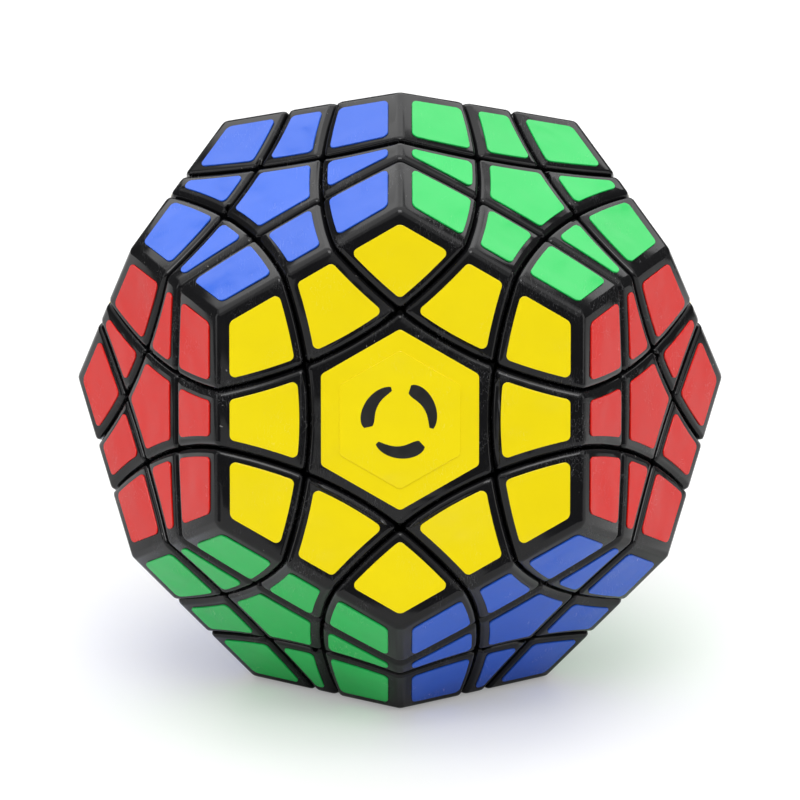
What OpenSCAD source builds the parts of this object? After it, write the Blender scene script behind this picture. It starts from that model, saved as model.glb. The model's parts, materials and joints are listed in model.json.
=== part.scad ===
// Sixteen-sided face-turning puzzle: four hexagonal and twelve pentagonal faces.
// A turning layer lies behind each face. A layer has one centre with a cap, and an edge and a
// corner for each side of its face. Neighbouring layers share edges and corners.
//
// Millimetres, +Z up. The puzzle stands on a yellow pentagonal face, with the yellow hexagonal
// face towards -Y. The origin is the middle of the sticker that it stands on.

/* [Body] */
// Distance from the middle of the puzzle to a pentagonal face
pent_d = 40; // [39:0.5:42]
// Distance from the middle of the puzzle to a hexagonal face
hex_d = 36; // [35.5:0.1:36.5]
// Gap between neighbouring pieces
gap = 0.3; // [0.2:0.05:0.4]

/* [Cuts] */
// Height on a pentagonal face's axis where the cone that cuts its layer has its point
pent_cut_h = 16.3; // [15.8:0.1:16.8]
// Rise of that cone, in degrees from flat
pent_cut_rise = 28; // [27:0.25:29]
// Height on a hexagonal face's axis where the cone that cuts its layer has its point
hex_cut_h = 19.3; // [18.8:0.1:19.8]
// Rise of that cone, in degrees from flat
hex_cut_rise = 12.5; // [11.5:0.25:13.5]

/* [Feet] */
// Radius of the sphere where the outer blocks end and the feet begin
shell_r = 31; // [30.5:0.25:31.5]
// Radius of the hollow inside the feet
hollow_r = 22.5; // [21:0.5:24]
// Angle from a pentagonal face's axis to the rim of its layer's feet
pent_foot_angle = 39; // [38:0.5:39.5]
// Angle from a hexagonal face's axis to the rim of its layer's feet
hex_foot_angle = 46; // [45:0.5:46.5]

/* [Centres] */
// Radius of the tube under a pentagonal centre
pent_tube_r = 4.2; // [4:0.1:4.3]
// Radius of the tube under a hexagonal centre
hex_tube_r = 6; // [5:0.25:7]
// Radius of the bore that holds the spring
spring_bore_r = 3.1; // [2.9:0.05:3.2]
// Thickness of the floor that the spring presses on
floor_t = 3.4; // [2.5:0.1:4]
// Thickness of a cap
cap_t = 2.2; // [1.8:0.1:2.4]
// Radius of the plug under a pentagonal cap
pent_plug_r = 5.1; // [4.5:0.1:5.3]
// Radius of the plug under a hexagonal cap
hex_plug_r = 7.9; // [7:0.1:8.5]

/* [Core and hardware] */
// Radius of the ball in the middle
ball_r = 9.6; // [9.5:0.1:10]
// Radius of each of its arms
arm_r = 3.6; // [3.2:0.1:3.6]
// Distance from the middle to an arm's end
arm_end = 13.5; // [12.5:0.25:14]
// Radius of a screw's shank
shank_r = 1.5; // [1.2:0.05:1.5]
// Radius of a screw's head
screw_head_r = 2.8; // [2.4:0.1:2.8]
// Length of a compressed spring
spring_len = 7.4; // [6:0.1:8]
// Radius of the spring wire
wire_r = 0.35; // [0.25:0.05:0.4]

/* [Stickers] */
// Thickness of a sticker
sticker_t = 0.2; // [0.15:0.05:0.3]
// Black border left between a sticker and the gap beside it
border = 1.4; // [1:0.1:1.6]
// Black border left between a sticker and the ridge where two faces meet
ridge_border = 1.8; // [1.4:0.1:2.2]

/* [Hidden] */
$fn = 96;

COLOURS = ["yellow", "red", "blue", "green"];
STICKER_RGB = [[0.98, 0.87, 0.08], [0.87, 0.11, 0.09], [0.10, 0.28, 0.90], [0.12, 0.75, 0.28]];
PLASTIC_RGB = [0.06, 0.06, 0.07];
CORE_RGB = [0.85, 0.85, 0.83];
STEEL_RGB = [0.72, 0.73, 0.75];

// The hexagonal faces look along the four axes of a tetrahedron. Each pentagonal face leans
// away from one of them, and less so from a second, whose colour it has.
HEX_AXES = [[1, 1, 1], [1, -1, -1], [-1, 1, -1], [-1, -1, 1]] / sqrt(3);
// Rows that turn those axes so that the pentagonal face away from red and yellow is underneath
STAND = [[0, -1, 1] / sqrt(2), [-2, -3, -3] / sqrt(22), [3, -1, -1] / sqrt(11)];

function unit(v) = v / norm(v);

// Each face: direction, whether it is hexagonal, colour number and the hexagonal axis that it
// leans away from. Three pentagonal faces with the same one are a ring about its far end. For a
// hexagonal face any other axis will do.
HEX_FACES = [for (c = [0:3]) [STAND * HEX_AXES[c], true, c, STAND * HEX_AXES[(c + 1) % 4]]];
PENT_FACES = [
    for (away = [0:3]) for (c = [0:3]) if (c != away)
        [STAND * unit(-2 * HEX_AXES[away] - HEX_AXES[c]), false, c, STAND * HEX_AXES[away]]
];
FACES = concat(HEX_FACES, PENT_FACES);
LAST = len(FACES) - 1;
FIRST_PENT = len(HEX_FACES);

function direction(f) = FACES[f][0];
function is_hex(f) = FACES[f][1];
function colour(f) = FACES[f][2];
function away_from(f) = FACES[f][3];
function face_d(f) = is_hex(f) ? hex_d : pent_d;
function adjacent(a, b) = a != b && direction(a) * direction(b) > 0.5;
function all_adjacent(own, f) = min([for (o = own) adjacent(o, f) ? 1 : 0]) == 1;
// Faces whose layers cut into the piece that belongs to the faces in own
function cutters(own) = [for (f = [0:LAST]) if (all_adjacent(own, f)) f];

EDGES = [for (a = [0:LAST]) for (b = [a + 1:1:LAST]) if (adjacent(a, b)) [a, b]];
CORNERS = [for (e = EDGES) for (c = [e[1] + 1:1:LAST]) if (all_adjacent(e, c)) concat(e, [c])];
PENT_EDGES = [for (e = EDGES) if (!is_hex(e[0])) e];
PENT_CORNERS = [for (k = CORNERS) if (!is_hex(k[0])) k];
function layer_edges(c) = [for (e = EDGES) if (e[0] == c) e];
function layer_corners(c) = [for (k = CORNERS) if (k[0] == c) k];
// Two pentagonal faces are in one ring when they meet a third at a point
function in_ring(e) = max([for (f = cutters(e)) is_hex(f) ? 0 : 1]) == 1;

centre_z = pent_d + sticker_t;
// Play between parts that slide on each other
slide_gap = 0.05;
// Length by which a cutting or joining solid runs past what it meets
overlap = 1;
// Angle from a face's ring to the seams of its round surfaces, clear of where three cuts meet
seam_turn = 70;
// Radius that takes in the whole puzzle
reach_r = 48;
// Height on a face's axis where the feet's cones start, well inside the hollow
foot_low = 10;
edge_neck_r = 2.5;
corner_neck_r = 1.6;
// Length of a neck to each side of the shell
neck_len = 2;
thread_start = 5;
arm_start = 8.7;
floor_top = arm_end + slide_gap + floor_t;
washer_t = 0.6;
washer_r = screw_head_r;
spring_base = floor_top + slide_gap + washer_t;
head_base = spring_base + spring_len;
head_t = 2.4;
// Room in a centre under its cap's plug
plug_room = 0.5;

// Stands the puzzle on its bottom sticker
module stand() {
    translate([0, 0, centre_z]) children();
}

// Turns +Z to look along d, with +X at seam_turn from the side where r lies. The seam of a round
// child is on its +X side, so it is at the same place in every ring.
module turn_to(d, r) {
    polar = acos(d[2]);
    azimuth = atan2(d[1], d[0]);
    x = [cos(azimuth) * cos(polar), sin(azimuth) * cos(polar), -sin(polar)];
    y = [-sin(azimuth), cos(azimuth), 0];
    rotate([0, polar, azimuth]) rotate([0, 0, atan2(r * y, r * x) + seam_turn]) children();
}

// Turns +Z to look out of face f
module along(f) {
    turn_to(direction(f), away_from(f)) children();
}

// A ball about the middle, with its poles off the planes of symmetry
module ball(r) {
    rotate([seam_turn, 2 * seam_turn, 0]) sphere(r = r);
}

function cut_rise(f) = is_hex(f) ? hex_cut_rise : pent_cut_rise;
function cut_h(f) = is_hex(f) ? hex_cut_h : pent_cut_h;
function foot_angle(f) = is_hex(f) ? hex_foot_angle : pent_foot_angle;
// Height where a cut is well inside the shell
function cut_low(f) = is_hex(f) ? 22 : 24;

// The space of face f's layer outside the shell, up to high, drawn back from its cut by inset
module layer_space(f, high, inset) {
    low = cut_low(f);
    tip = cut_h(f) + inset / cos(cut_rise(f));
    slope = tan(cut_rise(f));
    along(f) translate([0, 0, low])
        cylinder(h = high - low, r1 = (low - tip) / slope, r2 = (high - tip) / slope);
}

// The space of face f's layer among the feet, drawn back from its rim by inset
module foot_space(f, inset) {
    tip = inset / sin(foot_angle(f));
    spread = tan(foot_angle(f));
    along(f) translate([0, 0, foot_low])
        cylinder(h = shell_r - foot_low, r1 = (foot_low - tip) * spread, r2 = (shell_r - tip) * spread);
}

// Children without the outer spaces of the layers in list, each grown by margin
module carve_layers(list, margin, i = 0) {
    if (i == len(list)) children();
    else difference() {
        carve_layers(list, margin, i + 1) children();
        layer_space(list[i], reach_r, -margin);
    }
}

// Children without the foot spaces of the layers in list
module carve_feet(list, i = 0) {
    if (i == len(list)) children();
    else difference() {
        carve_feet(list, i + 1) children();
        foot_space(list[i], -gap / 2);
    }
}

// What a piece with the faces in own has outside the shell
module block(own) {
    difference() {
        carve_layers(cutters(own), gap / 2) intersection() {
            intersection_for (f = own) layer_space(f, face_d(f), gap / 2);
            ball(reach_r);
        }
        ball(shell_r);
    }
}

// The foot that its neighbours hold down
module foot(own) {
    difference() {
        carve_feet(cutters(own)) intersection() {
            intersection_for (f = own) foot_space(f, gap / 2);
            ball(shell_r - gap);
        }
        ball(hollow_r);
    }
}

function sum_of(own, i = 0) = i == len(own) ? [0, 0, 0] : direction(own[i]) + sum_of(own, i + 1);

// The neck that joins the foot to the block
module neck(own) {
    turn_to(unit(sum_of(own)), away_from(own[0])) translate([0, 0, shell_r - neck_len])
        cylinder(h = 2 * neck_len, r = len(own) == 2 ? edge_neck_r : corner_neck_r);
}

module piece(own) {
    union() {
        block(own);
        neck(own);
        foot(own);
    }
}

module pieces(owners) {
    color(PLASTIC_RGB) stand() for (own = owners) piece(own);
}

function tube_r(f) = is_hex(f) ? hex_tube_r : pent_tube_r;
function plug_r(f) = is_hex(f) ? hex_plug_r : pent_plug_r;
function plug_len(f) = is_hex(f) ? 1.8 : 3.6;
function cap_base(f) = face_d(f) - cap_t;
// Radius that takes in a centre, but not what lies past its neighbours' cuts
function centre_reach(f) = is_hex(f) ? 18 : 12;
// Radius that takes in a whole face
function face_reach(f) = is_hex(f) ? 30 : 24;
// How far face g's plane drops, per length along face f away from it
function lean(f, g) = sqrt(1 - pow(direction(f) * direction(g), 2));

// A centre: a block on a tube, open at the top, with a floor that turns on the screw
module centre(f) {
    pocket_low = cap_base(f) - plug_len(f) - plug_room;
    difference() {
        union() {
            carve_layers(cutters([f]), gap / 2) difference() {
                along(f) cylinder(h = cap_base(f), r = centre_reach(f));
                ball(shell_r);
            }
            along(f) translate([0, 0, arm_end + slide_gap])
                cylinder(h = shell_r - arm_end + gap, r = tube_r(f));
        }
        along(f) {
            cylinder(h = face_d(f), r = shank_r + slide_gap);
            translate([0, 0, floor_top]) cylinder(h = face_d(f), r = spring_bore_r);
            translate([0, 0, pocket_low]) cylinder(h = face_d(f), r = plug_r(f) + slide_gap);
        }
    }
}

module centres(faces) {
    color(PLASTIC_RGB) stand() for (f = faces) centre(f);
}

// A cap: the visible top of a centre, with a plug that grips the centre
module cap(f) {
    base = cap_base(f) + slide_gap;
    union() {
        carve_layers(cutters([f]), gap / 2) along(f) translate([0, 0, base])
            cylinder(h = face_d(f) - base, r = centre_reach(f));
        along(f) translate([0, 0, base - plug_len(f)])
            cylinder(h = plug_len(f) + overlap, r = plug_r(f));
    }
}

module caps(faces) {
    color(PLASTIC_RGB) stand() for (f = faces) cap(f);
}

// The sticker on face f of the piece with the faces in own
module sticker(f, own) {
    reach = len(own) == 1 ? centre_reach(f) : face_reach(f);
    carve_layers(cutters(own), border) intersection_for (g = own)
        if (g == f) along(f) translate([0, 0, face_d(f)]) cylinder(h = sticker_t, r = reach);
        else layer_space(g, face_d(g) - ridge_border * lean(f, g), border);
}

// The stickers of colour c on the pieces in owners
module stickers(c, owners) {
    color(STICKER_RGB[c]) stand()
        for (own = owners) for (f = own) if (colour(f) == c) sticker(f, own);
}

function layer_owners(c) = concat([[c]], layer_edges(c), layer_corners(c));
function pent_centre_owners() = [for (f = [FIRST_PENT:LAST]) [f]];
function fixed_owners() = concat(pent_centre_owners(), PENT_EDGES, PENT_CORNERS);
function pents_of(c) = [for (f = [FIRST_PENT:LAST]) if (colour(f) == c) f];

module core() {
    color(CORE_RGB) stand() difference() {
        union() {
            ball(ball_r);
            for (f = [0:LAST]) along(f) translate([0, 0, arm_start])
                cylinder(h = arm_end - arm_start, r = arm_r);
        }
        for (f = [0:LAST]) along(f) translate([0, 0, thread_start])
            cylinder(h = arm_end, r = shank_r);
    }
}

module screw() {
    slot_w = 0.8;
    slot_len = 3.2;
    slot_deep = 1.4;
    crown = 0.7;
    difference() {
        union() {
            translate([0, 0, thread_start])
                cylinder(h = head_base - thread_start + overlap, r = shank_r);
            translate([0, 0, head_base]) cylinder(h = head_t / 2, r = screw_head_r);
            translate([0, 0, head_base + head_t / 2])
                cylinder(h = head_t / 2, r1 = screw_head_r, r2 = crown * screw_head_r);
        }
        for (turn = [0, 90]) rotate([0, 0, turn])
            translate([-slot_len / 2, -slot_w / 2, head_base + head_t - slot_deep])
                cube([slot_len, slot_w, slot_deep + overlap]);
    }
}

module screws() {
    color(STEEL_RGB) stand() for (f = [0:LAST]) along(f) screw();
}

module washers() {
    color(STEEL_RGB) stand() for (f = [0:LAST]) along(f) translate([0, 0, floor_top + slide_gap])
        difference() {
            cylinder(h = washer_t, r = washer_r);
            translate([0, 0, -overlap])
                cylinder(h = washer_t + 2 * overlap, r = shank_r + slide_gap);
        }
}

// A coil of wire: rings of points along a helix, closed at both ends
module spring() {
    turns = 4;
    steps = 7 * turns;
    sides = 4;
    shank_play = 0.25;
    coil_r = shank_r + shank_play + wire_r;
    rise = spring_len - 2 * wire_r - 2 * slide_gap;
    rings = [
        for (i = [0:steps]) let (a = 360 * turns * i / steps, z = wire_r + slide_gap + rise * i / steps)
            for (k = [0:sides - 1]) let (b = 360 * k / sides, r = coil_r + wire_r * cos(b))
                [r * cos(a), r * sin(a), z + wire_r * sin(b)]
    ];
    tube = [
        for (i = [0:steps - 1]) for (k = [0:sides - 1])
            let (here = i * sides + k, next = i * sides + (k + 1) % sides)
                each [[here, here + sides, next + sides], [here, next + sides, next]]
    ];
    ends = [[for (k = [0:sides - 1]) k], [for (k = [0:sides - 1]) (steps + 1) * sides - 1 - k]];
    polyhedron(points = rings, faces = concat(tube, ends), convexity = 8);
}

module springs() {
    color(STEEL_RGB) stand() for (f = [0:LAST]) along(f) translate([0, 0, spring_base]) spring();
}

core();
screws();
washers();
springs();
/* ring_edges */ pieces([for (e = PENT_EDGES) if (in_ring(e)) e]);
/* bridge_edges */ pieces([for (e = PENT_EDGES) if (!in_ring(e)) e]);
pieces(PENT_CORNERS);  // point_corners
for (c = [0:3]) {
    layer = str(COLOURS[c], "_layer_");
    pentagon = str(COLOURS[c], "_pentagon_");
    centres([c]);
    caps([c]);
    pieces(layer_edges(c));
    pieces(layer_corners(c));
    for (s = [0:3])
        stickers(s, layer_owners(c));
    centres(pents_of(c));
    caps(pents_of(c));
    stickers(c, fixed_owners());
}
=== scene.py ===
import json
import math
import random

import bmesh
import bpy
import numpy as np
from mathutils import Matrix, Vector


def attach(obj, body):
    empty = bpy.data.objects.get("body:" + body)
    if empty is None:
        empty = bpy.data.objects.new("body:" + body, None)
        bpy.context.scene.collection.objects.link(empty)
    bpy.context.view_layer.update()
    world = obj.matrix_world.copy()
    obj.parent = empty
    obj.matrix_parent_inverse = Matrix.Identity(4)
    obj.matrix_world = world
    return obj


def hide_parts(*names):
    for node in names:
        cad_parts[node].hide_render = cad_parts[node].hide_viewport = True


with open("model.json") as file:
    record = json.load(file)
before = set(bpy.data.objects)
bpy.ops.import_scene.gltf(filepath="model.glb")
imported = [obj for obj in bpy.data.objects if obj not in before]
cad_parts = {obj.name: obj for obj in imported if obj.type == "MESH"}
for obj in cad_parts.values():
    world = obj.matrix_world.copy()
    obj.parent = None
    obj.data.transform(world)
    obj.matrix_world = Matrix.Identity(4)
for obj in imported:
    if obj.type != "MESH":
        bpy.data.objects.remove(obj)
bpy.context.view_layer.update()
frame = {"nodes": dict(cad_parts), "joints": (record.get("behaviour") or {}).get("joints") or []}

MM = 0.001
COLOURS = ("yellow", "red", "blue", "green")

# Cuts, as in the CAD model: height of each cone's point on its face's axis, and its slope
CUT_TIP = {"hex": 19.3 * MM, "pent": 16.3 * MM}
CUT_SLOPE = {"hex": math.tan(math.radians(12.5)), "pent": math.tan(math.radians(28))}

# Stickers: thickness, borders of bare plastic along cuts and ridges, and corner radii
STICKER_T = 0.2 * MM
CUT_BORDER = 1.4 * MM
RIDGE_BORDER = 1.8 * MM
CORNER_R = 0.75 * MM
OUTER_CORNER_R = 1.1 * MM  # where two ridges meet
SHARP_CORNER_R = 0.4 * MM  # where the sides' inward directions are beyond SHARP_DOT
SHARP_DOT = -0.5
HEX_STICKER_APOTHEM = 10.7 * MM

ADJACENT_DOT = 0.5  # faces that share a ridge have directions nearer than this
ANY_DIRECTION = (0.31, 0.17, 0.93)  # along no face's axis


# ---------------------------------------------------------------- the solid's faces

def unit(v):
    v = np.asarray(v, float)
    return v / np.linalg.norm(v)


JOINTS = {j["name"]: j for j in frame["joints"]}
CENTRE = np.array(JOINTS["yellow_layer_turn"]["pos_m"], float)
HEX_AXIS = {c: unit(JOINTS[c + "_layer_turn"]["axis"]) for c in COLOURS}


def reach(node, direction):
    """How far a CAD node reaches from the middle along direction."""
    points = [np.array(v.co) for v in frame["nodes"][node].data.vertices]
    return max(float((p - CENTRE) @ direction) for p in points)


HEX_D = reach("yellow_layer_cap", HEX_AXIS["yellow"])


class Face:
    """A face of the solid: its outward direction, kind, colour and distance from the middle."""

    def __init__(self, direction, kind, colour, distance):
        self.direction = direction
        self.kind = kind
        self.colour = colour
        self.distance = distance
        self.u = unit(np.cross(ANY_DIRECTION, direction))
        self.v = np.cross(direction, self.u)

    def point(self, x, y):
        return self.distance * self.direction + x * self.u + y * self.v


def pentagon_direction(away, colour):
    return unit(-2 * HEX_AXIS[away] - HEX_AXIS[colour])


PENT_D = reach("red_pentagon_caps", pentagon_direction("yellow", "red"))
FACES = [Face(HEX_AXIS[c], "hex", c, HEX_D) for c in COLOURS]
FACES += [
    Face(pentagon_direction(away, c), "pent", c, PENT_D)
    for away in COLOURS
    for c in COLOURS
    if c != away
]


def adjacent(a, b):
    return a is not b and float(a.direction @ b.direction) > ADJACENT_DOT


def cutters(own):
    """Faces whose layers cut into the piece that belongs to the faces in own."""
    return [f for f in FACES if all(adjacent(f, o) for o in own)]


EDGES = [(a, b) for i, a in enumerate(FACES) for b in FACES[i + 1:] if adjacent(a, b)]
CORNERS = [
    e + (c,)
    for e in EDGES
    for c in FACES[FACES.index(e[1]) + 1:]
    if all(adjacent(c, o) for o in e)
]
OWNERS = [(f,) for f in FACES] + EDGES + CORNERS


def layer_of(own):
    """The colour of the hexagonal layer that a piece turns with, or None."""
    return next((f.colour for f in own if f.kind == "hex"), None)


# ---------------------------------------------------------------- sticker outlines

GRADIENT_STEP = 1e-6
SIDE_SAMPLES = 10
ARC_SAMPLES = 6
EDGE_LEAN = 0.45  # moves an edge piece's start point from the ridge onto its own face


class Side:
    """One side of a sticker on a face, as the distance in the face's plane from the line."""

    def __init__(self, face, other, sort, border):
        self.face, self.other, self.sort, self.border = face, other, sort, border

    def raw(self, p):
        q = self.face.point(p[0], p[1])
        n = self.other.direction
        height = float(q @ n)
        if self.sort == "ridge":
            return self.other.distance - height
        radius = math.sqrt(max(float(q @ q) - height * height, 1e-12))
        ahead = height - CUT_TIP[self.other.kind] - CUT_SLOPE[self.other.kind] * radius
        return ahead if self.sort == "inside" else -ahead

    def gradient(self, p):
        h = GRADIENT_STEP
        gx = (self.raw((p[0] + h, p[1])) - self.raw((p[0] - h, p[1]))) / (2 * h)
        gy = (self.raw((p[0], p[1] + h)) - self.raw((p[0], p[1] - h))) / (2 * h)
        return np.array((gx, gy))

    def inward(self, p):
        g = self.gradient(p)
        return g / np.linalg.norm(g)

    def distance(self, p):
        return self.raw(p) / np.linalg.norm(self.gradient(p)) - self.border

    def onto(self, p):
        """Moves p straight across onto the side."""
        for _ in range(6):
            p = p - self.distance(p) * self.inward(p)
        return p


def meeting(a, b, depth, start):
    """The point at depth inside two sides."""
    p = np.array(start, float)
    for _ in range(25):
        miss = np.array((a.distance(p) - depth, b.distance(p) - depth))
        p = p - np.linalg.solve(np.array((a.inward(p), b.inward(p))), miss)
    return p


def angle_on(face, other):
    """The angle in face's plane at which another face lies."""
    return math.atan2(other.direction @ face.v, other.direction @ face.u)


def sides_of(face, own):
    """The sides of the sticker on face of a piece, in order round it."""
    others = [o for o in own if o is not face]
    carve = [Side(face, f, "outside", CUT_BORDER) for f in cutters(own)]
    ridges = [Side(face, o, "ridge", RIDGE_BORDER) for o in others]
    inner = [Side(face, o, "inside", CUT_BORDER) for o in others]
    if not others:
        return sorted(carve, key=lambda side: angle_on(face, side.other))
    if len(others) == 1:
        return [ridges[0], carve[0], inner[0], carve[1]]
    return [ridges[0], ridges[1], inner[0], inner[1]]


def start_point(face, own):
    """A point well inside the sticker on face, in the face's plane."""
    d = sum(o.direction for o in own) + (EDGE_LEAN * face.direction if len(own) == 2 else 0)
    q = d * face.distance / float(d @ face.direction)
    return np.array((float(q @ face.u), float(q @ face.v)))


def turned(v, angle):
    c, s = math.cos(angle), math.sin(angle)
    return np.array((c * v[0] - s * v[1], s * v[0] + c * v[1]))


def angle_between(a, b):
    return math.atan2(a[0] * b[1] - a[1] * b[0], float(a @ b))


def regular_outline(face, apothem):
    """Points round a regular sticker in the middle of a face, with straight sides."""
    angles = sorted(angle_on(face, f) for f in FACES if adjacent(f, face))
    points = []
    for a, b in zip(angles, angles[1:] + [angles[0] + 2 * math.pi]):
        middle = (a + b) / 2
        out = (apothem - CORNER_R) / math.cos((b - a) / 2)
        centre = np.array((out * math.cos(middle), out * math.sin(middle)))
        for k in range(ARC_SAMPLES + 1):
            t = a + (b - a) * k / ARC_SAMPLES
            points.append(centre + CORNER_R * np.array((math.cos(t), math.sin(t))))
    return points


def outline(face, own):
    """Points round a sticker, anticlockwise, its corners rounded."""
    if own == (face,) and face.kind == "hex":
        return regular_outline(face, HEX_STICKER_APOTHEM)
    ring = sides_of(face, own)
    start = start_point(face, own)
    count = len(ring)
    corners = []
    for i in range(count):
        a, b = ring[i], ring[(i + 1) % count]
        tip = meeting(a, b, 0.0, start)
        radius = CORNER_R
        if a.sort == "ridge" and b.sort == "ridge":
            radius = OUTER_CORNER_R
        elif float(a.inward(tip) @ b.inward(tip)) < SHARP_DOT:
            radius = SHARP_CORNER_R
        middle = meeting(a, b, radius, start)
        corners.append((middle, radius, -a.inward(middle), -b.inward(middle)))
    points = []
    for i in range(count):
        middle, radius, out_a, out_b = corners[i]
        sweep = angle_between(out_a, out_b)
        for k in range(ARC_SAMPLES + 1):
            points.append(middle + radius * turned(out_a, sweep * k / ARC_SAMPLES))
        after = corners[(i + 1) % count]
        first, last = points[-1], after[0] + after[1] * after[2]
        side = ring[(i + 1) % count]
        for k in range(1, SIDE_SAMPLES):
            points.append(side.onto(first + (last - first) * k / SIDE_SAMPLES))
    area = sum(p[0] * q[1] - p[1] * q[0] for p, q in zip(points, points[1:] + points[:1]))
    return points if area > 0 else points[::-1]


def shrunk(points, inset):
    """A closed outline moved inwards by inset."""
    out = []
    for before, p, after in zip(points[-1:] + points[:-1], points, points[1:] + points[:1]):
        along = after - before
        along = along / np.linalg.norm(along)
        out.append(p + inset * np.array((-along[1], along[0])))
    return out


def add_film(bm, face, points, base, thickness, rim, tint):
    """Adds a closed film with a softened rim to bm. tint tells one film from the next."""
    layer = bm.verts.layers.float.get("tint") or bm.verts.layers.float.new("tint")
    rings = (
        (points, base),
        (points, base + thickness - rim),
        (shrunk(points, 0.35 * rim), base + thickness - 0.3 * rim),
        (shrunk(points, rim), base + thickness),
    )
    made = []
    for ring, height in rings:
        row = []
        for p in ring:
            vert = bm.verts.new(CENTRE + face.point(p[0], p[1]) + height * face.direction)
            vert[layer] = tint
            row.append(vert)
        made.append(row)
    bm.faces.new(list(reversed(made[0])))
    for low, high in zip(made, made[1:]):
        for i in range(len(low)):
            k = (i + 1) % len(low)
            bm.faces.new((low[i], low[k], high[k], high[i]))
    bm.faces.new(made[-1])


def new_object(name, bm, material):
    mesh = bpy.data.meshes.new(name)
    bm.to_mesh(mesh)
    bm.free()
    mesh.materials.append(material)
    obj = bpy.data.objects.new(name, mesh)
    bpy.context.scene.collection.objects.link(obj)
    return obj


# ---------------------------------------------------------------- materials

class Graph:
    """A material's nodes, with short ways to add and join them."""

    def __init__(self, name):
        self.material = bpy.data.materials.new(name)
        self.material.use_nodes = True
        self.tree = self.material.node_tree
        self.shader = self.tree.nodes["Principled BSDF"]

    def add(self, kind, **settings):
        node = self.tree.nodes.new(kind)
        for key, value in settings.items():
            setattr(node, key, value)
        return node

    def join(self, out, into):
        self.tree.links.new(out, into)

    def place(self, scale=(1, 1, 1), turn=(0, 0, 0)):
        """The surface's own coordinates in metres, scaled and turned."""
        where = self.add("ShaderNodeTexCoord")
        mapping = self.add("ShaderNodeMapping")
        mapping.inputs["Scale"].default_value = scale
        mapping.inputs["Rotation"].default_value = [math.radians(a) for a in turn]
        self.join(where.outputs["Object"], mapping.inputs["Vector"])
        return mapping.outputs["Vector"]

    def noise(self, vector, scale, detail=2.0, roughness=0.5):
        node = self.add("ShaderNodeTexNoise")
        node.inputs["Scale"].default_value = scale
        node.inputs["Detail"].default_value = detail
        node.inputs["Roughness"].default_value = roughness
        self.join(vector, node.inputs["Vector"])
        return node.outputs["Fac"]

    def span(self, value, low, high, to_low, to_high):
        """Takes low..high to to_low..to_high, held at the ends."""
        node = self.add("ShaderNodeMapRange")
        node.inputs["From Min"].default_value = low
        node.inputs["From Max"].default_value = high
        node.inputs["To Min"].default_value = to_low
        node.inputs["To Max"].default_value = to_high
        self.join(value, node.inputs["Value"])
        return node.outputs["Result"]

    def math(self, operation, a, b):
        node = self.add("ShaderNodeMath", operation=operation)
        for socket, value in zip(node.inputs, (a, b)):
            if isinstance(value, (int, float)):
                socket.default_value = value
            else:
                self.join(value, socket)
        return node.outputs["Value"]

    def mix(self, share, a, b):
        """Mixes two colours."""
        node = self.add("ShaderNodeMix", data_type="RGBA")
        self.join(share, node.inputs["Factor"])
        for socket, value in ((node.inputs["A"], a), (node.inputs["B"], b)):
            if isinstance(value, tuple):
                socket.default_value = (*value, 1)
            else:
                self.join(value, socket)
        return node.outputs["Result"]

    def uniform(self, **settings):
        """Sets values that are the same all over, such as Coat_Weight=0.1, on the shader."""
        for key, value in settings.items():
            self.shader.inputs[key.replace("_", " ")].default_value = value

    def bump(self, height, strength, distance):
        node = self.add("ShaderNodeBump")
        node.inputs["Strength"].default_value = strength
        node.inputs["Distance"].default_value = distance
        self.join(height, node.inputs["Height"])
        self.join(node.outputs["Normal"], self.shader.inputs["Normal"])

    def scratches(self, scale, width, turns):
        """Sparse fine lines in several directions, 1 on a line and 0 off it."""
        total = None
        for turn in turns:
            streaks = self.noise(self.place((scale, scale * 0.02, scale * 0.35), turn), 1.0, 1.0)
            line = self.span(streaks, 0.5 - width, 0.5, 0, 1)
            line = self.math("MULTIPLY", line, self.span(streaks, 0.5, 0.5 + width, 1, 0))
            patch = self.noise(self.place((1, 1, 1), turn), 160.0, 1.0)
            line = self.math("MULTIPLY", line, self.span(patch, 0.56, 0.66, 0, 1))
            total = line if total is None else self.math("MAXIMUM", total, line)
        return total


def black_plastic():
    """Glossy black moulding with faint mottling, hairline scratches and a few dust specks."""
    g = Graph("glossy_black_plastic")
    mottle = g.noise(g.place(), 220.0, 4.0)
    scratch = g.scratches(2600.0, 0.012, ((20, 10, 35), (70, 40, 110), (10, 80, 160)))
    specks = g.span(g.noise(g.place(), 1500.0, 1.0), 0.79, 0.81, 0, 1)
    colour = g.mix(mottle, (0.003, 0.003, 0.0035), (0.008, 0.008, 0.009))
    colour = g.mix(g.math("MULTIPLY", scratch, 0.35), colour, (0.20, 0.20, 0.21))
    colour = g.mix(g.math("MULTIPLY", specks, 0.5), colour, (0.35, 0.34, 0.32))
    g.join(colour, g.shader.inputs["Base Color"])
    rough = g.span(mottle, 0.3, 0.7, 0.07, 0.15)
    rough = g.math("MAXIMUM", rough, g.math("MULTIPLY", scratch, 0.5))
    g.join(rough, g.shader.inputs["Roughness"])
    g.uniform(Specular_IOR_Level=0.32)
    ripple = g.noise(g.place(), 700.0, 3.0)
    g.bump(g.math("SUBTRACT", ripple, g.math("MULTIPLY", scratch, 0.6)), 0.07, 0.00005)
    return g.material


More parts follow.
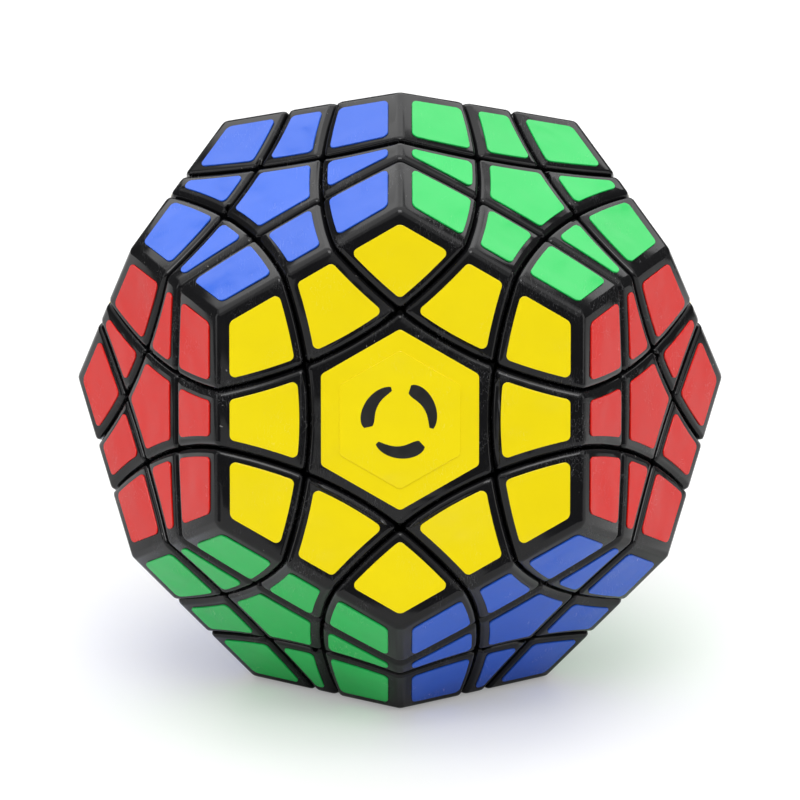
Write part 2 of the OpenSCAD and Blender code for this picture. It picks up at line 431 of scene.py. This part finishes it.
def vinyl(name, colour, deep):
    """Glossy sticker film: slow waves, and a slight difference from one sticker to the next."""
    g = Graph(name)
    tint = g.add("ShaderNodeAttribute", attribute_name="tint").outputs["Fac"]
    cloud = g.noise(g.place(), 90.0, 3.0)
    share = g.math("ADD", g.math("MULTIPLY", tint, 0.45), g.math("MULTIPLY", cloud, 0.55))
    base = g.mix(share, deep, colour)
    scratch = g.scratches(1900.0, 0.010, ((40, 15, 70), (15, 65, 140)))
    lighter = tuple(min(1.0, 0.5 * c + 0.35) for c in colour)
    g.join(g.mix(g.math("MULTIPLY", scratch, 0.10), base, lighter), g.shader.inputs["Base Color"])
    rough = g.span(cloud, 0.3, 0.7, 0.14, 0.22)
    g.join(g.math("ADD", rough, g.math("MULTIPLY", scratch, 0.2)), g.shader.inputs["Roughness"])
    g.uniform(Specular_IOR_Level=0.3, Coat_Weight=0.15, Coat_Roughness=0.06)
    own_place = g.add("ShaderNodeVectorMath", operation="ADD")
    g.join(g.place(), own_place.inputs[0])
    g.join(tint, own_place.inputs[1])
    peel = g.noise(g.place(), 1500.0, 2.0)
    waves = g.noise(own_place.outputs["Vector"], 75.0, 2.5)
    g.bump(g.math("ADD", g.math("MULTIPLY", peel, 0.006), waves), 0.6, 0.0015)
    return g.material


def core_plastic():
    """Satin off-white moulding of the core."""
    g = Graph("satin_core_plastic")
    grain = g.noise(g.place(), 900.0, 5.0, 0.6)
    cloud = g.noise(g.place(), 120.0, 3.0)
    g.join(g.mix(cloud, (0.66, 0.65, 0.61), (0.78, 0.77, 0.73)), g.shader.inputs["Base Color"])
    g.join(g.span(grain, 0.3, 0.7, 0.38, 0.55), g.shader.inputs["Roughness"])
    g.bump(grain, 0.2, 0.00006)
    return g.material


def plated_steel():
    """Zinc-plated steel with drawn streaks and dull spots."""
    g = Graph("plated_steel")
    streak = g.noise(g.place((900, 900, 5200)), 1.0, 3.0)
    spots = g.noise(g.place(), 1500.0, 3.0)
    g.join(g.mix(spots, (0.46, 0.47, 0.48), (0.66, 0.67, 0.68)), g.shader.inputs["Base Color"])
    g.uniform(Metallic=1.0)
    g.join(g.span(streak, 0.3, 0.7, 0.22, 0.42), g.shader.inputs["Roughness"])
    g.bump(streak, 0.15, 0.00004)
    return g.material


def print_ink():
    """Printed black ink, slightly uneven."""
    g = Graph("printed_ink")
    cloud = g.noise(g.place(), 800.0, 4.0)
    colour = g.mix(cloud, (0.004, 0.004, 0.004), (0.012, 0.012, 0.011))
    g.join(colour, g.shader.inputs["Base Color"])
    g.join(g.span(cloud, 0.3, 0.7, 0.3, 0.42), g.shader.inputs["Roughness"])
    return g.material


BLACK = black_plastic()
CORE = core_plastic()
STEEL = plated_steel()
INK = print_ink()
VINYL = {
    "yellow": vinyl("yellow_vinyl", (0.92, 0.75, 0.006), (0.86, 0.68, 0.004)),
    "red": vinyl("red_vinyl", (0.80, 0.014, 0.008), (0.72, 0.010, 0.006)),
    "blue": vinyl("blue_vinyl", (0.030, 0.14, 0.74), (0.024, 0.115, 0.64)),
    "green": vinyl("green_vinyl", (0.020, 0.64, 0.13), (0.015, 0.55, 0.10)),
}


# ---------------------------------------------------------------- mouldings

BLOCK_EDGE = 0.8 * MM
CAP_EDGE = 0.6 * MM
EDGE_SEGMENTS = 3
SHARP_EDGE = math.radians(33)
ROUND_FROM = 31.3 * MM  # the feet and necks further in keep the CAD model's edges
ONE_FACE = math.radians(1)  # triangles that meet at less than this are made one face
CAD_WELD = 0.002 * MM
BEVEL_WELD = 0.001 * MM


def moulded(node, body, width):
    """Stands for a CAD node, with its outer edges rounded as a moulding has them."""
    bm = bmesh.new()
    bm.from_mesh(frame["nodes"][node].data)
    bmesh.ops.remove_doubles(bm, verts=bm.verts, dist=CAD_WELD)
    bmesh.ops.dissolve_limit(bm, angle_limit=ONE_FACE, verts=bm.verts, edges=bm.edges)
    for face in bm.faces:
        face.smooth = True
    weight = bm.edges.layers.float.new("bevel_weight_edge")
    for edge in bm.edges:
        middle = (edge.verts[0].co + edge.verts[1].co) / 2
        outside = (middle - Vector(CENTRE)).length > ROUND_FROM
        if outside and edge.is_convex and edge.calc_face_angle(0.0) > SHARP_EDGE:
            edge[weight] = 1.0
    obj = new_object("moulded_" + node, bm, BLACK)
    bevel = obj.modifiers.new("rounded_edges", "BEVEL")
    bevel.limit_method = "WEIGHT"
    bevel.width = width
    bevel.segments = EDGE_SEGMENTS
    bevel.use_clamp_overlap = False
    bevel.harden_normals = True
    within = obj.modifiers.new("within_cad", "SHRINKWRAP")
    within.target = frame["nodes"][node]
    within.wrap_method = "NEAREST_SURFACEPOINT"
    within.wrap_mode = "INSIDE"
    weld = obj.modifiers.new("clean_corners", "WELD")
    weld.merge_threshold = BEVEL_WELD
    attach(obj, body)
    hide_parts(node)


def repaint(node, material):
    """Gives a CAD node that keeps its shape a better material."""
    materials = frame["nodes"][node].data.materials
    materials.clear()
    materials.append(material)


for name in ("ring_edges", "bridge_edges", "point_corners"):
    moulded(name, "root", BLOCK_EDGE)
for c in COLOURS:
    moulded(c + "_layer_edges", c + "_layer", BLOCK_EDGE)
    moulded(c + "_layer_corners", c + "_layer", BLOCK_EDGE)
    moulded(c + "_layer_cap", c + "_layer", CAP_EDGE)
    moulded(c + "_pentagon_caps", "root", CAP_EDGE)
    repaint(c + "_layer_centre", BLACK)
    repaint(c + "_pentagon_centres", BLACK)


# ---------------------------------------------------------------- stickers

RIM = 0.06 * MM
random.seed(16)


def cut_stickers(node, body, colour, owners):
    """The stickers of one colour on the pieces in owners, in place of a CAD node."""
    bm = bmesh.new()
    for own in owners:
        for face in own:
            if face.colour == colour:
                add_film(bm, face, outline(face, own), 0, STICKER_T, RIM, random.random())
    obj = new_object("film_" + node, bm, VINYL[colour])
    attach(obj, body)
    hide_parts(node)


for layer in COLOURS:
    mine = [own for own in OWNERS if layer_of(own) == layer]
    for c in COLOURS:
        cut_stickers(f"{layer}_layer_stickers_{c}", layer + "_layer", c, mine)
fixed = [own for own in OWNERS if layer_of(own) is None]
for c in COLOURS:
    cut_stickers(c + "_pentagon_stickers", "root", c, fixed)


FILM_T = 0.1 * MM
FILM_APOTHEM = 8.2 * MM
FILM_TINT = 0.8
INK_T = 0.02 * MM
INK_TINT = 0.5
PETALS = 3
PETAL_GAP = 26  # degrees
MARK_R = 4.4 * MM
MARK_W = 2.3 * MM
TAIL = 0.45  # width at a petal's thin end, as a share of the other end's


def centre_film():
    """The thin second film on the yellow centre, and the plain ring mark printed on it."""
    face = FACES[COLOURS.index("yellow")]
    bm = bmesh.new()
    inner = regular_outline(face, FILM_APOTHEM)
    add_film(bm, face, inner, STICKER_T, FILM_T, 0.4 * FILM_T, FILM_TINT)
    film = new_object("yellow_centre_film", bm, VINYL["yellow"])
    bm = bmesh.new()
    for k in range(PETALS):
        turn = 2 * math.pi * k / PETALS
        add_film(bm, face, petal(turn), STICKER_T + FILM_T, INK_T, 0.3 * INK_T, INK_TINT)
    mark = new_object("yellow_centre_mark", bm, INK)
    for piece, slot in ((film, "sticker_yellow"), (mark, "black_plastic")):
        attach(piece, "yellow_layer")


def petal(turn, steps=28):
    """One leaf of the mark: a rounded bar bent round part of a ring, thinner at its tail."""
    span = math.radians(360 / PETALS - PETAL_GAP)
    outer, inner = [], []
    for k in range(steps + 1):
        share = k / steps
        width = MARK_W * math.sqrt(max(1 - (2 * share - 1) ** 4, 0.0))
        half = 0.5 * width * (TAIL + (1 - TAIL) * share)
        a = turn + span * share
        out = np.array((math.cos(a), math.sin(a)))
        outer.append((MARK_R + half) * out)
        inner.append((MARK_R - half) * out)
    return outer[1:-1] + inner[::-1][1:-1]


centre_film()


# ---------------------------------------------------------------- core and hardware

WIRE_R = 0.35 * MM
COIL_R = 2.1 * MM
SPRING_TURNS = 4


def stretch(node, face, near):
    """Lowest and highest point of a CAD node on a face's axis, within near of it."""
    heights = []
    for vert in frame["nodes"][node].data.vertices:
        q = np.array(vert.co) - CENTRE
        height = float(q @ face.direction)
        if height > 0 and np.linalg.norm(q - height * face.direction) < near:
            heights.append(height)
    return min(heights), max(heights)


def add_coil(bm, face, low, high, steps=28, sides=10):
    """Adds a round wire coiled about a face's axis, closed at both ends."""
    count = steps * SPRING_TURNS
    rings = []
    for i in range(count + 1):
        a = 2 * math.pi * i / steps
        z = low + WIRE_R + (high - low - 2 * WIRE_R) * i / count
        out = math.cos(a) * face.u + math.sin(a) * face.v
        ring = []
        for k in range(sides):
            b = 2 * math.pi * k / sides
            q = (COIL_R + WIRE_R * math.cos(b)) * out + (z + WIRE_R * math.sin(b)) * face.direction
            ring.append(bm.verts.new(CENTRE + q))
        rings.append(ring)
    for a, b in zip(rings, rings[1:]):
        for k in range(sides):
            n = (k + 1) % sides
            bm.faces.new((a[k], b[k], b[n], a[n])).smooth = True
    bm.faces.new(rings[0])
    bm.faces.new(list(reversed(rings[-1])))


def springs():
    bm = bmesh.new()
    for face in FACES:
        add_coil(bm, face, *stretch("springs", face, 1.5 * COIL_R))
    bmesh.ops.recalc_face_normals(bm, faces=bm.faces)
    obj = new_object("coiled_springs", bm, STEEL)
    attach(obj, "root")
    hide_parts("springs")


springs()
repaint("core", CORE)
repaint("screws", STEEL)
repaint("washers", STEEL)


# ---------------------------------------------------------------- floor, light and camera

FLOOR_R = 0.62
FLOOR_SIDES = 96
FLOOR_GLOW = 0.29  # lifts the floor's shadows, without lighting the object
ROOM_GLOW = 0.12
ELEVATION = math.radians(16.2)
DISTANCE = 18.1 * PENT_D
AIM_BELOW_CENTRE = 1.3 * MM
LENS, SENSOR = 228.8, 36


def stage_floor():
    """A plain pale floor. It ends where it is as white as the room beyond."""
    bm = bmesh.new()
    rim = []
    for k in range(FLOOR_SIDES):
        a = 2 * math.pi * k / FLOOR_SIDES
        rim.append(bm.verts.new((FLOOR_R * math.cos(a), FLOOR_R * math.sin(a), 0)))
    bm.faces.new(rim)
    g = Graph("pale_floor")
    cloud = g.noise(g.place(), 3.0, 2.0)
    g.join(g.mix(cloud, (0.69, 0.69, 0.69), (0.71, 0.71, 0.71)), g.shader.inputs["Base Color"])
    g.uniform(Roughness=0.6, Emission_Color=(1, 1, 1, 1))
    seen = g.add("ShaderNodeLightPath").outputs["Is Camera Ray"]
    g.join(g.math("MULTIPLY", seen, FLOOR_GLOW), g.shader.inputs["Emission Strength"])
    new_object("floor", bm, g.material)


def put(name, data, place, aim):
    """Puts a light or camera at place, looking at aim."""
    obj = bpy.data.objects.new(name, data)
    obj.location = place
    obj.rotation_euler = (Vector(aim) - Vector(place)).to_track_quat("-Z", "Y").to_euler()
    bpy.context.scene.collection.objects.link(obj)
    return obj


def add_light(name, kind, place, power):
    data = bpy.data.lights.new(name, kind)
    data.energy = power
    put(name, data, place, CENTRE)
    return data


def softbox(name, place, size, power):
    data = add_light(name, "AREA", place, power)
    data.shape = "RECTANGLE"
    data.size, data.size_y = size


def studio():
    """Softboxes overhead, in front, behind and on each side, in a dim pale room."""
    world = bpy.data.worlds.new("studio")
    world.use_nodes = True
    tree = world.node_tree
    room = tree.nodes["Background"]
    room.inputs["Color"].default_value = (1, 1, 1, 1)
    room.inputs["Strength"].default_value = ROOM_GLOW
    seen = tree.nodes.new("ShaderNodeBackground")
    seen.inputs["Color"].default_value = (1, 1, 1, 1)
    choose = tree.nodes.new("ShaderNodeMixShader")
    rays = tree.nodes.new("ShaderNodeLightPath")
    tree.links.new(rays.outputs["Is Camera Ray"], choose.inputs["Fac"])
    tree.links.new(room.outputs["Background"], choose.inputs[1])
    tree.links.new(seen.outputs["Background"], choose.inputs[2])
    tree.links.new(choose.outputs["Shader"], tree.nodes["World Output"].inputs["Surface"])
    bpy.context.scene.world = world
    bpy.context.scene.view_settings.view_transform = "Standard"
    sky = add_light("high_light", "SUN", (0.0, -0.25, 1.0), 1.2)
    sky.angle = math.radians(110)
    softbox("overhead_light", (0.0, -0.15, 1.1), (1.5, 1.2), 5.6)
    softbox("front_light", (0.0, -0.75, 1.0), (0.7, 0.5), 5.4)
    softbox("back_light", (0.0, 0.8, 0.95), (1.7, 0.8), 7.5)
    softbox("left_light", (-0.9, -0.35, 0.30), (0.35, 0.6), 1.0)
    softbox("right_light", (0.9, -0.35, 0.30), (0.35, 0.6), 1.0)


def camera():
    """Straight on, a little above the horizon, with a long lens."""
    out = Vector((0, -math.cos(ELEVATION), math.sin(ELEVATION)))
    aim = Vector(CENTRE) - Vector((0, 0, AIM_BELOW_CENTRE))
    data = bpy.data.cameras.new("camera")
    data.lens = LENS
    data.sensor_width = SENSOR
    data.clip_start = 0.05
    place = Vector(CENTRE) + DISTANCE * out
    bpy.context.scene.camera = put("camera", data, place, aim)


stage_floor()
studio()
camera()
